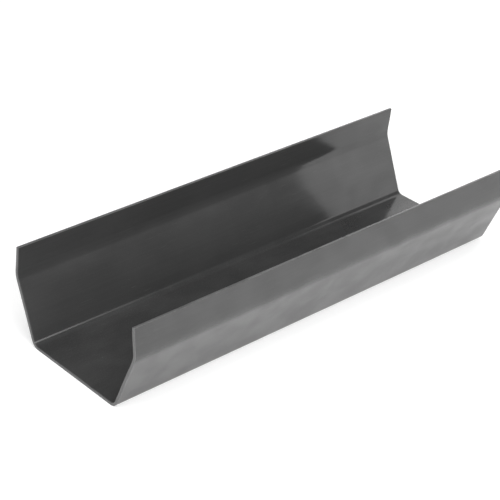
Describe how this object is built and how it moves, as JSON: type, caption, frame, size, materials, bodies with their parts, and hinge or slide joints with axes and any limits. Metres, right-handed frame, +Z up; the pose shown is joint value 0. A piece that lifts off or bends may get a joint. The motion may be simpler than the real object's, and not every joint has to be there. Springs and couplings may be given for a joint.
{
  "type": "gutter section",
  "caption": "Square-line rain gutter profile in rigid plastic: flat base, flared lower walls, soft side bends, upright rims, open top and square-sawn open ends.",
  "frame": {"origin": "middle of the length and width, on the underside of the flat base", "axes": "+X along the gutter's length, +Y across it, +Z up out of the open mouth"},
  "size_m": [0.32, 0.1138, 0.063],
  "materials": {
    "dark_grey_pvc": "smooth extruded rigid PVC, dark neutral grey, semi-gloss"
  },
  "bodies": {
    "root": {"gutter": "dark_grey_pvc"}
  },
  "joints": []
}
